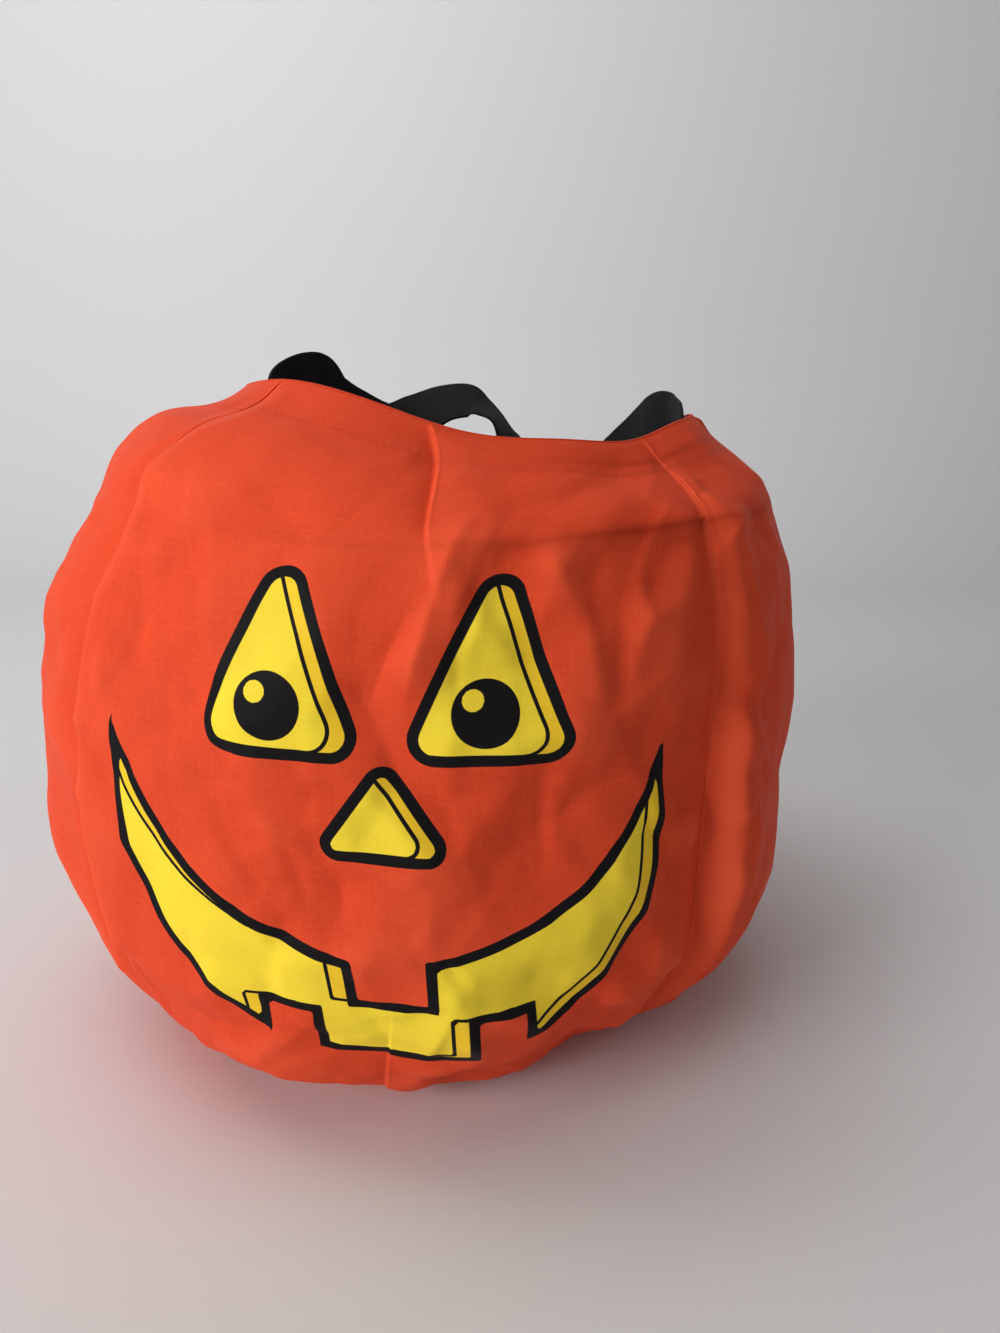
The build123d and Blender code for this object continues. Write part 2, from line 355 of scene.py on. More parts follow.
def seam_folds(draw, count, half_width):
    """Short folds that start at either seam and slant into the panel. half_width gives the seam's distance."""
    side = draw.choice([-1, 1], count)
    along = draw.uniform(24, 196, count)
    reach = draw.uniform(10, 26, count)
    slant = draw.uniform(-16, 16, count)
    height = draw.choice([-1, 1], count) * draw.uniform(0.3, 0.9, count)
    width = draw.uniform(2.4, 5.0, count)
    edge = half_width(along)
    return np.stack([side * (edge + 6), along, side * (edge - reach), along + slant, height, width], axis=1)


def facets(across, along, draw, spacing, crease):
    """Heights of crumpled cloth: flat facets whose slopes differ by about 1 where they meet in creases.

    The squared distance to the nearest of some random points, less that to the nearest of some others, is flat
    within each cell. Both nearest ones are taken softly, which rounds the creases. All is in millimetres.
    """
    low, high = facet_corners
    count = round((high[0] - low[0]) * (high[1] - low[1]) / spacing**2)
    sharpness = 1 / (2 * spacing * crease)
    height = np.zeros_like(across)
    for sign in (1, -1):
        total = np.full_like(across, 1e-200)
        for site_across, site_along in draw.uniform(low, high, (count, 2)):
            away = (across - site_across) ** 2 + (along - site_along) ** 2
            total += np.exp(-sharpness * away)
        height -= sign * np.log(total) / sharpness
    return height / (2 * spacing)


# How far each seam is drawn in at its deepest, in millimetres, by its turn in degrees.
# Beside a seam, the cloth at its right stands proud by as much as the seam is deeper than the plain depth.
seam_depths = {45: 5.0, 135: 5.0, 225: 4.6, 315: 7.5}
plain_seam_depth = 4
greatest_proud_edge = max(seam_depths.values()) - plain_seam_depth
seam_top_share = 0.82
seam_fall = 9 * mm
column_crowding = 0.62


def panel_grid(turn_degrees):
    """Smooth grid of one panel, with the turn of each point, its share across and its distances over the cloth.

    The columns crowd towards the seams and the dart.
    """
    step = np.linspace(-1, 1, panel_columns + 1)
    spread = step - column_crowding * np.sin(full_turn * step) / full_turn
    rise, share = np.meshgrid(np.linspace(0, 1, panel_rows + 1), spread, indexing="ij")
    turn = math.radians(turn_degrees) + share * half_panel
    points = smooth_cloth(turn.ravel(), rise.ravel()).reshape(rise.shape + (3,))
    along = path_lengths(points, 0)
    across = path_lengths(points, 1)
    across -= across[:, panel_columns // 2, None]
    length = along.max(axis=0, keepdims=True)
    return SimpleNamespace(
        turn_degrees=turn_degrees,
        points=points,
        turn=turn,
        share=share,
        at_left=share < 0,
        height=points[..., 2],
        across=across,
        along=along,
        length=length,
        to_seam=np.abs(across[:, -1:]) - np.abs(across),
        from_rim=length - along,
        left_seam=seam_depths[(turn_degrees - 45) % 360],
        right_seam=seam_depths[(turn_degrees + 45) % 360],
    )


def seam_share(grid):
    """The share of its depth that a seam is drawn in by: none at its ends, most between base and hoop."""
    return np.sin(math.pi * np.clip(grid.along / grid.length / seam_top_share, 0, 1))


def seam_draw(grid):
    """How far a panel is drawn in at its seams: steeply at its left and slackly at its right.

    Near a deep seam at its left the cloth stands proud, most of all 10 mm from the seam.
    """
    steep_side = 1 - smooth(grid.to_seam, 0, seam_fall)
    slack_side = 0.5 * grid.share**4 + 0.5 * np.exp(-grid.to_seam / (11 * mm))
    depth = mm * np.where(grid.at_left, grid.left_seam, grid.right_seam) * seam_share(grid)
    depth += (1.2 * mm) * smooth(grid.along / grid.length, 0.72, 0.86)
    from_edge = grid.to_seam / (10 * mm)
    proud = mm * (grid.left_seam - plain_seam_depth) * seam_share(grid) * from_edge * np.exp(1 - from_edge)
    return depth * np.where(grid.at_left, steep_side, slack_side) - proud * grid.at_left


def dart_relief(grid):
    """How far a panel is drawn in at its upper and lower dart, and the darts' step and ridge.

    A dart is a step: its right side stands proud, its left side is a valley, and both die away.
    """
    along, length = grid.along, grid.length
    top_dart = smooth(along, 0.70 * length, 0.88 * length)
    low_dart = smooth(-along, -0.34 * length, -0.08 * length) * smooth(along, 0, 0.04 * length)
    both_darts = top_dart + 0.6 * low_dart
    dart_line = (15 - 24 * np.clip((along / length - 0.68) / 0.32, 0, 1)) * mm
    from_dart = grid.across - dart_line * smooth(along, 0.5 * length, 0.66 * length) + (5 * mm) * low_dart
    depth = (2.0 * mm * top_dart + 1.2 * mm * low_dart) * np.exp(-np.abs(from_dart) / (9 * mm))
    proud = np.where(from_dart > 0, 0.55 * np.exp(-from_dart / (7 * mm)), -0.75 * np.exp(from_dart / (5 * mm)))
    step = mm * proud * np.abs(np.tanh(from_dart / (0.3 * mm))) * both_darts
    ridge = (0.35 * mm) * both_darts * bump(from_dart, 0.35 * mm, 0.4 * mm)
    return depth, step, ridge


def seam_roll(grid):
    """The line of a panel's seams, and their height with the puckered allowance at its left."""
    ridge_line = bump(grid.to_seam, 0, 0.8 * mm) * smooth(grid.from_rim, 0, 3 * mm)
    allowance = smooth(grid.to_seam, 0, 1.6 * mm) * (1 - smooth(grid.to_seam, 3.5 * mm, 10 * mm))
    puckered = 0.8 + 0.3 * np.sin(grid.along / (6 * mm))
    puckered = puckered + 0.25 * np.sin(grid.along / (13 * mm) + grid.turn_degrees)
    allowance = allowance * puckered * grid.at_left * smooth(grid.from_rim, 2 * mm, 8 * mm)
    return ridge_line, mm * (0.45 * ridge_line + 0.9 * allowance)


def loose_relief(grid, name):
    """Heights of a panel's folds, crumples and puckers, which fade at its seams and its ends.

    Random folds and crumples are calmer round two turns and above the hoop.
    """
    across, along = grid.across, grid.along
    draw = np.random.default_rng(fold_seed + grid.turn_degrees)
    middle_along = along[:, panel_columns // 2] / mm
    edge = across[:, -1] / mm

    def half_width(places):
        """Distance from the panel's middle to its seam, in millimetres."""
        return np.interp(places, middle_along, edge)

    def heights(folds):
        """The heights of several folds together."""
        return sum(fold_height(across, along, fold) for fold in folds)

    folds = heights(list(random_folds(draw, random_fold_count)) + list(hanging_folds(draw, hanging_fold_count)))
    placed = heights(chosen_folds.get(name, []))
    puckers = heights(seam_folds(draw, pucker_count, half_width))
    large = facets(across / mm, along / mm, draw, 27, 0.6)
    small = facets(across / mm, along / mm, draw, 12, 0.5)
    patchy = np.sin(across / (19 * mm) + draw.uniform(0, 6)) * np.sin(along / (24 * mm) + draw.uniform(0, 6))
    crumples = mm * (0.23 * large + (0.18 + 0.12 * patchy) * small)
    calm = 0.55 * np.maximum(bump(turn_apart(grid.turn, 205), 0, 32), bump(turn_apart(grid.turn, 350), 0, 26))
    calm = np.maximum(calm, 0.65 * smooth(grid.height, hoop_height - 8 * mm, hoop_height + 6 * mm))
    loose = ((folds + crumples) * (1 - calm) + placed) * smooth(grid.to_seam, 0, seam_fall)
    ends = smooth(grid.from_rim, 1 * mm, 10 * mm) * smooth(along, 1 * mm, 8 * mm)
    return (loose + puckers * smooth(grid.to_seam, 0, 2.5 * mm)) * ends


def painted_layer_shade(grid, hoop_line):
    """Painted shade where cloth lies behind a panel, as if seen through it: the hem, its edge, and the hoop's
    tape, seen most at the right.
    """
    hem_layer_shade = 0.20 * (1 - smooth(grid.from_rim, hem_depth - 0.8 * mm, hem_depth + 0.8 * mm))
    hem_edge_shade = 0.16 * bump(grid.from_rim, hem_depth, 1.2 * mm)
    second_edge_shade = 0.55 * bump(turn_apart(grid.turn, 318), 0, 26) * bump(grid.from_rim, 9 * mm, 1.3 * mm)
    hoop_shade = 0.12 + 1.0 * bump(turn_apart(grid.turn, 308), 0, 32)
    tape = 0.2 * bump(grid.height, hoop_line, 5 * mm) + 0.75 * bump(grid.height, hoop_line, 1.2 * mm)
    return np.clip(hem_layer_shade + hem_edge_shade + second_edge_shade + hoop_shade * tape, 0, 1.4)


@functools.lru_cache(maxsize=None)
def panel_cloth(turn_degrees, name):
    """Grid of one panel's outer side, with the fields that its finish needs.

    Seams and darts are drawn in along the normal. Loose cloth, the hoop's ridge, the darts' steps and the
    seams' rolls are added along it. Crests, and the lines of seams and darts, are kept for the finish to paint
    a highlight on, with the painted shade of the cloth layers behind.
    """
    grid = panel_grid(turn_degrees)
    dart_depth, dart_step, dart_ridge = dart_relief(grid)
    ridge_line, roll = seam_roll(grid)
    hoop_line = hoop_height + mm * (2.0 * np.sin(2 * grid.turn + 1.1) + 1.0 * np.sin(5 * grid.turn))
    hoop_ridge = (0.5 * mm) * bump(grid.height, hoop_line, 2.6 * mm) * smooth(grid.to_seam, 0, 4 * mm)
    dart_fade = smooth(grid.from_rim, 0, 3 * mm) * smooth(grid.to_seam, 0, seam_fall)

    relief = loose_relief(grid, name) + hoop_ridge + (dart_step + dart_ridge) * dart_fade
    relief += roll * smooth(grid.along, 0, 4 * mm)
    closed_ends = smooth(grid.from_rim, 0, 10 * mm) * smooth(grid.along, 0, 8 * mm)
    drawn_in = (seam_draw(grid) + dart_depth) * closed_ends
    points = grid.points + grid_normals(grid.points) * (relief - drawn_in)[..., None]

    # Painted highlight: crests, the lines of seams and darts, and a band beside a deep seam's proud edge are
    # painted paler.
    proud_share = (grid.left_seam - plain_seam_depth) / greatest_proud_edge * seam_share(grid)
    proud_edge_highlight = proud_share * bump(grid.to_seam, 5 * mm, 4 * mm) * grid.at_left
    highlight_lines = ridge_line + 1.2 * dart_ridge / mm + 1.6 * proud_edge_highlight
    # The layers field carries painted shade and the crest field a painted highlight.
    fields = {
        "place": np.stack([grid.across, grid.along, np.zeros_like(grid.along)], axis=-1),
        "layers": painted_layer_shade(grid, hoop_line),
        "crest": np.clip(relief / mm, -2, 2) + 3 * highlight_lines,
    }
    if name == "front_panel":
        fields.update(face_print(grid.across / mm, grid.along / mm))
    return points, fields


# Distance of the eyes' middles from the middle of the front panel, in millimetres
eye_distance = 25


def disc(across, along, middle, radius):
    """Signed distance to a circle, in millimetres and less than 0 inside."""
    return np.hypot(across - middle[0], along - middle[1]) - radius


def corners_shape(across, along, corners, rounding):
    """Signed distance to a convex outline with rounded corners, given anticlockwise, in millimetres."""
    inside = np.full_like(across, -1e3)
    nearest = np.full_like(across, 1e6)
    for start, end in zip(corners, corners[1:] + corners[:1]):
        run = (end[0] - start[0], end[1] - start[1])
        length = math.hypot(*run)
        aside = ((across - start[0]) * run[1] - (along - start[1]) * run[0]) / length
        inside = np.maximum(inside, aside)
        share = np.clip(((across - start[0]) * run[0] + (along - start[1]) * run[1]) / length**2, 0, 1)
        reach = np.hypot(across - start[0] - share * run[0], along - start[1] - share * run[1])
        nearest = np.minimum(nearest, reach)
    return np.where(inside > 0, nearest, -nearest) - rounding


def face_shapes(across, along):
    """Signed distance, in millimetres, to the eyes, the nose and the grin of a carved-pumpkin face.

    Rounded triangles make the eyes and the nose, and a grin lies between two arcs, with square teeth left out.
    """
    shapes = []
    for side in (-1, 1):
        middle = side * eye_distance
        eye = [(middle - 13, 137), (middle + 13, 137), (middle, 169)]
        shapes.append(corners_shape(across, along, eye, 5.0))
    nose = [(-10.5, 111), (10.5, 111), (0, 126)]
    shapes.append(corners_shape(across, along, nose, 3.0))

    upper_lip = disc(across, along, (0, 158), 78.0)
    lower_lip = disc(across, along, (0, 118), 73.0)
    grin = np.maximum(lower_lip, -upper_lip)
    for middle, half_width, level in ((0, 10, 81), (-27, 7.5, 50), (27, 7.5, 50)):
        tooth = np.maximum(np.abs(across - middle) - half_width, np.abs(along - level) - 14)
        grin = np.maximum(grin, -tooth)
    shapes.append(grin)
    return np.minimum.reduce(shapes)


def face_print(across, along):
    """Signed distances, in millimetres, to what makes up the printed face.

    They are those to the shapes, to the same shapes moved left and a little up, which leave a cut edge at the
    right, to the pupils and to the glints in them.
    """
    pupils = [disc(across, along, (side * eye_distance - 1.5, 143), 8.0) for side in (-1, 1)]
    glints = [disc(across, along, (side * eye_distance - 4.5, 146), 2.6) for side in (-1, 1)]
    distances = {
        "shape": face_shapes(across, along),
        "cut": face_shapes(across + 5.2, along - 1.0),
        "pupil": np.minimum(*pupils),
        "glint": np.minimum(*glints),
    }
    return {name: np.clip(distance, -8, 8) for name, distance in distances.items()}


def outward(vertices, quads):
    """Quads turned round, where needed, so that the volume that they enclose is above 0."""
    first, second, third, fourth = (vertices[quads[:, corner]] for corner in range(4))
    volume = np.einsum("ij,ij->", first, np.cross(second, third) + np.cross(third, fourth))
    return quads if volume > 0 else quads[:, ::-1]


def add_object(name, vertices, quads, caps=()):
    """A new mesh object at the origin from points and quads, with any caps, which are whole loops."""
    mesh = bpy.data.meshes.new(name)
    mesh.from_pydata(vertices.tolist(), [], quads.tolist() + [list(cap) for cap in caps])
    mesh.polygons.foreach_set("use_smooth", np.ones(len(mesh.polygons), bool))
    mesh.update()
    piece = bpy.data.objects.new(name, mesh)
    bpy.context.scene.collection.objects.link(piece)
    return piece


def merge_poles(piece):
    """Merges the points of a piece that lie together, as at the poles of a disc."""
    work = bmesh.new()
    work.from_mesh(piece.data)
    bmesh.ops.remove_doubles(work, verts=work.verts, dist=0.002 * mm)
    bmesh.ops.dissolve_degenerate(work, edges=work.edges, dist=0.001 * mm)
    work.to_mesh(piece.data)
    work.free()


def add_fields(piece, fields):
    """Stores named values or vectors at the points of a piece, for its finish to read."""
    for name, values in fields.items():
        if values.ndim == 2:
            attribute = piece.data.attributes.new(name, "FLOAT_VECTOR", "POINT")
            attribute.data.foreach_set("vector", values.astype(np.float32).ravel())
        else:
            attribute = piece.data.attributes.new(name, "FLOAT", "POINT")
            attribute.data.foreach_set("value", values.astype(np.float32).ravel())


def grid_quads(rows, columns, closed=False):
    """Quads of a grid of points, with the last column joined to the first where it is closed."""
    over = np.arange(columns if closed else columns - 1)
    down, over = np.meshgrid(np.arange(rows - 1), over, indexing="ij")
    beside = (over + 1) % columns
    lower, upper = down * columns, (down + 1) * columns
    return np.stack([lower + over, lower + beside, upper + beside, upper + over], axis=-1).reshape(-1, 4)


def border_loop(rows, columns):
    """Points round the border of a grid, anticlockwise from its first corner."""
    bottom = np.arange(columns)
    right = np.arange(1, rows) * columns + columns - 1
    top = (rows - 1) * columns + np.arange(columns - 2, -1, -1)
    left = np.arange(rows - 2, 0, -1) * columns
    return np.concatenate([bottom, right, top, left])


def flat_field(values):
    """A field of a grid as one row per point."""
    return values.reshape(values.shape[0] * values.shape[1], -1).squeeze()


def cloth_sheet(name, outer, inner, fields):
    """A closed sheet of cloth: the grids of its outer and inner sides, and the edges between them."""
    rows, columns = outer.shape[:2]
    count = rows * columns
    outer_quads = grid_quads(rows, columns)
    loop = border_loop(rows, columns)
    after = np.roll(loop, -1)
    edge_quads = np.stack([loop, loop + count, after + count, after], axis=-1)
    vertices = np.concatenate([outer.reshape(-1, 3), inner.reshape(-1, 3)])
    quads = np.concatenate([outer_quads, outer_quads[:, ::-1] + count, edge_quads])
    piece = add_object(name, vertices, outward(vertices, quads))
    doubled = {field: np.concatenate([flat_field(values)] * 2) for field, values in fields.items()}
    doubled["inside"] = np.concatenate([np.zeros(count), np.ones(count)])
    add_fields(piece, doubled)
    return piece


def ring_skin(name, points, fields, joined=True):
    """A closed skin: rows of points follow a section, and columns go once round.

    The last row joins the first, or, where they are not joined, both are poles.
    """
    rows, columns = points.shape[:2]
    quads = grid_quads(rows, columns, closed=True)
    if joined:
        last = (rows - 1) * columns + np.arange(columns)
        first = np.arange(columns)
        quads = np.concatenate([quads, np.stack([last, np.roll(last, -1), np.roll(first, -1), first], axis=-1)])
    vertices = points.reshape(-1, 3)
    piece = add_object(name, vertices, outward(vertices, quads))
    add_fields(piece, {field: flat_field(values) for field, values in fields.items()})
    return piece


def tube_skin(name, points, fields):
    """A closed skin along a path: rows of points go along it, columns go round it, and each end is one face."""
    rows, columns = points.shape[:2]
    vertices = points.reshape(-1, 3)
    quads = grid_quads(rows, columns, closed=True)
    turned = outward(vertices, quads)
    first, last = np.arange(columns), (rows - 1) * columns + np.arange(columns)
    caps = (first[::-1], last) if turned is quads else (first, last[::-1])
    piece = add_object(name, vertices, turned, [cap.tolist() for cap in caps])
    add_fields(piece, {field: flat_field(values) for field, values in fields.items()})
    return piece


class Socket:
    """An output of a node, whose sums, products and comparisons add Math nodes."""

    def __init__(self, finish, socket):
        self.finish = finish
        self.socket = socket

    def math(self, operation, *values, clamp=False):
        """A Math node on this value and others."""
        inputs = dict(enumerate((self,) + values))
        return self.finish.node("ShaderNodeMath", {"operation": operation, "use_clamp": clamp}, inputs)

    def __add__(self, other):
        return self.math("ADD", other)

    __radd__ = __add__

    def __mul__(self, other):
        return self.math("MULTIPLY", other)

    def __sub__(self, other):
        return self.math("SUBTRACT", other)

    def __rsub__(self, other):
        return self.finish.node("ShaderNodeMath", {"operation": "SUBTRACT"}, {0: other, 1: self})

    def clamp(self):
        """The value kept from 0 to 1."""
        return self.math("ADD", 0.0, clamp=True)


class Finish:
    """A procedural material built node by node round one surface shader."""

    def __init__(self, name, **surface):
        self.material = bpy.data.materials.new(name)
        self.material.use_nodes = True
        self.tree = self.material.node_tree
        self.shader = self.tree.nodes["Principled BSDF"]
        self.set(**surface)

    def set(self, **values):
        """Sets or links sockets of the surface shader, with underscores for spaces in their names."""
        for name, value in values.items():
            self.feed(self.shader.inputs[name.replace("_", " ")], value)

    def feed(self, socket, value):
        """Links a value that varies to a socket, or sets a constant on it."""
        if isinstance(value, Socket):
            self.tree.links.new(value.socket, socket)
        else:
            socket.default_value = value

    def node(self, kind, settings=None, inputs=None, output=0):
        """Adds a node with its settings, feeds its inputs by name or number, and gives one of its outputs."""
        node = self.tree.nodes.new(kind)
        for name, value in (settings or {}).items():
            setattr(node, name, value)
        for key, value in (inputs or {}).items():
            self.feed(node.inputs[key], value)
        return Socket(self, node.outputs[output])

    def field(self, name, output="Fac"):
        """A value stored at the points of the piece."""
        return self.node("ShaderNodeAttribute", {"attribute_name": name}, output=output)

    def mix(self, mask, first, second):
        """A colour from first, where the mask is 0, to second, where it is 1."""
        return self.node("ShaderNodeMix", {"data_type": "RGBA"}, {0: mask, 6: first, 7: second}, output=2)

    def within(self, distance, limit):
        """1 where a distance in millimetres is less than a limit, with an edge 0.125 mm wide."""
        return ((limit - distance) * 8.0 + 0.5).clamp()

    def stretched(self, place, x_scale, y_scale, z_scale=1.0):
        """A place stretched by three factors."""
        settings = {"vector_type": "POINT"}
        return self.node("ShaderNodeMapping", settings, {"Vector": place, "Scale": (x_scale, y_scale, z_scale)})

    def noise(self, place, scale, detail=3.0, roughness=0.55):
        """Soft noise from 0 to 1, with a scale in cycles per metre."""
        inputs = {"Vector": place, "Scale": scale, "Detail": detail, "Roughness": roughness}
        return self.node("ShaderNodeTexNoise", None, inputs)

    def bands(self, place, axis, pitch):
        """A wave from -1 to 1 along one axis of a place, with a pitch in metres."""
        parts = self.node("ShaderNodeSeparateXYZ", None, {0: place}, output=axis)
        return (parts * (full_turn / pitch)).math("SINE")

    def bump(self, height, distance, strength=1.0):
        """Feeds a height from about 0 to 1 to the shader's normal, with its size in metres."""
        inputs = {"Strength": strength, "Distance": distance, "Height": height}
        self.set(Normal=self.node("ShaderNodeBump", None, inputs))


def orange_cloth(name, colours, printed=False):
    """Thin woven taffeta: threads, slubs, painted shade over cloth layers behind it, a painted highlight on
    crests, with any print.
    """
    finish = Finish(name, Specular_IOR_Level=0.02)
    place = finish.field("place", "Vector")
    layers = finish.field("layers")
    crest = finish.field("crest")
    weft = finish.noise(finish.stretched(place, 90, 1500), 1.0, 2.0)
    warp = finish.noise(finish.stretched(place, 1700, 70), 1.0, 2.0)
    cloudy = finish.noise(place, 26, 3.0)
    thread = finish.bands(place, 0, 0.52 * mm) * finish.bands(place, 1, 0.46 * mm)
    speckle = finish.noise(place, 850, 1.0)
    tone = (weft - 0.5) * 0.5 + (warp - 0.5) * 0.4 + (cloudy - 0.5) * 0.35
    tone = tone + (speckle - 0.5) * 0.5 + thread * 0.08
    colour = finish.mix((tone + 0.5).clamp(), colours.deep_orange, colours.pale_orange)
    # Painted shade where cloth layers lie behind, seen through the cloth.
    colour = finish.mix((layers * 0.62).clamp(), colour, colours.layer_shade_orange)
    # Painted highlight on crests and along the seams and darts.
    colour = finish.mix((crest * 0.14).clamp(), colour, colours.painted_highlight_orange)
    roughness = 0.48 + (cloudy - 0.5) * 0.14
    weave = thread * 0.25 + weft * 0.5 + warp * 0.4
    if printed:
        outer = 1 - finish.field("inside")
        shape, cut = finish.field("shape"), finish.field("cut")
        fill = finish.within(shape, 0.0)
        line = finish.within(shape.math("ABSOLUTE"), 1.35)
        cut_line = finish.within(cut.math("ABSOLUTE"), 0.5) * fill
        pupil = finish.within(finish.field("pupil"), 0.0) * (1 - finish.within(finish.field("glint"), 0.0))
        black = line.math("MAXIMUM", cut_line).math("MAXIMUM", pupil) * outer
        yellow = finish.mix((tone + 0.5).clamp(), colours.deep_yellow, colours.yellow)
        yellow = finish.mix((1 - finish.within(cut, 0.0)) * 0.5, yellow, colours.amber)
        colour = finish.mix(fill * outer, colour, yellow)
        colour = finish.mix(black, colour, colours.black_ink)
        ink = (fill * outer).math("MAXIMUM", black)
        roughness = roughness - ink * 0.10
        weave = weave * (1 - ink * 0.5)
    finish.set(Base_Color=colour, Roughness=roughness)
    finish.bump(weave, 0.07 * mm, 0.7)
    return finish.material


def strap_cloth(colours):
    """Folded black cotton tape: a fine diagonal rib, with paler fibres and dust on the crests."""
    finish = Finish("black_strap_cloth", Sheen_Weight=0.03, Sheen_Roughness=0.5, Specular_IOR_Level=0.16)
    place = finish.field("place", "Vector")
    slant = finish.node(
        "ShaderNodeMapping",
        {"vector_type": "POINT"},
        {"Vector": place, "Rotation": (0, 0, math.radians(38))},
    )
    rib = finish.bands(slant, 0, 0.8 * mm)
    fibre = finish.noise(finish.stretched(place, 2600, 500), 1.0, 2.0)
    dusty = finish.noise(place, 60, 4.0)
    tone = (rib * 0.16 + (fibre - 0.5) * 0.7 + (dusty - 0.5) * 0.8 + 0.30).clamp()
    finish.set(Base_Color=finish.mix(tone, colours.strap_black, colours.strap_grey))
    finish.set(Roughness=0.72 + (dusty - 0.5) * 0.2)
    finish.bump(rib * 0.4 + fibre, 0.10 * mm, 0.7)
    return finish.material


def sewing_thread(name, colour, pale):
    """Twisted thread: slanting plies and a soft change of tone along it."""
    finish = Finish(name, Roughness=0.55, Sheen_Weight=0.15)
    place = finish.node("ShaderNodeTexCoord", output="Object")
    plies = finish.noise(place, 3200, 2.0)
    finish.set(Base_Color=finish.mix(plies, colour, pale))
    finish.bump(plies, 0.05 * mm, 0.6)
    return finish.material


def drawn_steel(colours):
    """Drawn spring steel: bright grey with fine drawing marks and darker oxide spots."""
    finish = Finish("drawn_spring_steel", Metallic=1.0)
    place = finish.node("ShaderNodeTexCoord", output="Object")
    marks = finish.noise(finish.stretched(place, 400, 400, 4000), 1.0, 3.0)
    spots = finish.noise(place, 700, 4.0)
    oxide = ((spots - 0.58) * 5.0).clamp()
    finish.set(Base_Color=finish.mix(oxide, colours.steel, colours.oxide))
    finish.set(Roughness=0.28 + marks * 0.15 + oxide * 0.3)
    finish.bump(marks, 0.02 * mm, 0.5)
    return finish.material


def colour_property(name, description, value):
    """A colour that a user may change."""
    return bpy.props.FloatVectorProperty(
        name=name, description=description, subtype="COLOR", size=4, min=0, max=1, default=value + (1,))


class PailColours(bpy.types.PropertyGroup):
    """Colours of the pail's finishes."""

    pale_orange: colour_property("Pale orange", "Cloth at its palest threads", (0.87, 0.097, 0.037))
    deep_orange: colour_property("Deep orange", "Cloth at its deepest threads", (0.65, 0.052, 0.017))
    # Painted shade where cloth layers lie behind.
    layer_shade_orange: colour_property("Layered orange", "Cloth over a hem or the hoop tape", (0.30, 0.016, 0.005))
    # Painted highlight on crests and along the seams and darts.
    painted_highlight_orange: colour_property("Glowing orange", "Cloth on the crest of a fold", (0.98, 0.135, 0.055))
    yellow: colour_property("Yellow ink", "Yellow of the print", (1.0, 0.80, 0.060))
    deep_yellow: colour_property("Deep yellow ink", "Yellow over deep threads", (0.96, 0.66, 0.040))
    amber: colour_property("Amber ink", "Cut edges of the print", (0.92, 0.50, 0.020))
    black_ink: colour_property("Black ink", "Black of the print", (0.012, 0.011, 0.012))
    strap_black: colour_property("Strap black", "Strap at its deepest", (0.004, 0.004, 0.005))
    strap_grey: colour_property("Strap grey", "Strap where fibres and dust show", (0.011, 0.011, 0.013))
    steel: colour_property("Steel", "Drawn steel of the hoop", (0.46, 0.46, 0.47))
    oxide: colour_property("Oxide", "Dull spots on the steel", (0.16, 0.14, 0.13))
    floor: colour_property("Floor", "Pale floor and backdrop", (0.72, 0.72, 0.725))


class PailSizes(bpy.types.PropertyGroup):
    """Sizes that a user would change."""

    camera_place: bpy.props.FloatVectorProperty(
        name="Camera place", description="Where the camera stands", subtype="XYZ", unit="LENGTH", size=3,
        default=(0.0298, -0.3246, 0.195))
    camera_pitch: bpy.props.FloatProperty(
        name="Camera pitch", description="How far the camera looks down", subtype="ANGLE",
        default=math.radians(15.3))
    camera_yaw: bpy.props.FloatProperty(
        name="Camera yaw", description="How far the camera looks to the right", subtype="ANGLE",
        default=math.radians(-0.75))
    lens: bpy.props.FloatProperty(
        name="Lens", description="Focal length for a 36 mm long side", subtype="DISTANCE_CAMERA", default=26.0)
    stitch_pitch: bpy.props.FloatProperty(
        name="Stitch pitch", description="Distance between stitches", unit="LENGTH", default=2.4 * mm)
    stitch_length: bpy.props.FloatProperty(
        name="Stitch length", description="Length of one stitch", unit="LENGTH", default=1.7 * mm)
    thread_diameter: bpy.props.FloatProperty(
        name="Thread", description="Diameter of the sewing thread", unit="LENGTH", default=0.20 * mm)


def finish_piece(piece, material, body="pail", replaced=()):
    """Gives a piece its finish, lets it ride on a body, and hides the nodes that it stands for."""
    piece.data.materials.append(material)
    if replaced:
        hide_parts(*replaced)
    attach(piece, body)


def ring_turns(count):
    """Turns once round, in radians, without the last, which is the first again."""
    return np.arange(count) * full_turn / count


def folded_band(path, thickness):
    """Closed section of a strip of cloth along a path of (out, up), half its thickness to each side."""
    path = np.array(path, float)
    run = np.gradient(path, axis=0)
    aside = np.stack([-run[:, 1], run[:, 0]], axis=1) / np.linalg.norm(run, axis=1, keepdims=True)
    return np.concatenate([path + aside * thickness / 2, (path - aside * thickness / 2)[::-1]])


def cloth_fields(across, along, layers):
    """The fields of a small piece of cloth: its place, the painted shade of its layers, and no painted
    highlight on crests.
    """
    place = np.stack([across, along, np.zeros_like(along)], axis=-1)
    return {"place": place, "layers": np.full_like(along, layers), "crest": np.zeros_like(along)}


def hem_points(turn):
    """Section rows of the hem: it folds over the rim and hangs down its inside, waving a little.

    The path is given in millimetres out from the rim and up from it.
    """
    depth = hem_depth / mm
    path = [(-0.15, -1.2), (-0.10, -0.3), (-0.28, 0.15), (-0.62, 0.20), (-0.98, -0.35), (-1.25, -1.8),
            (-1.42, -5.0), (-1.50, -9.5), (-1.52, -depth)]
    section = folded_band(path, 0.5) * mm
    rim = smooth_cloth(turn, np.ones_like(turn))
    wave = 0.25 * mm * np.sin(9 * turn) + 0.18 * mm * np.sin(23 * turn + 1)
    out = section[:, 0, None] + wave * np.clip(-section[:, 1, None] / hem_depth, 0, 1)
    up = rim[:, 2] + section[:, 1, None]
    points = np.stack([rim[:, 0] + out * np.cos(turn), rim[:, 1] + out * np.sin(turn), up], axis=-1)
    return points, section


# Rows on each side of the base, and the height of its upper side in millimetres
base_rows = 14
base_upper_height = 1.05


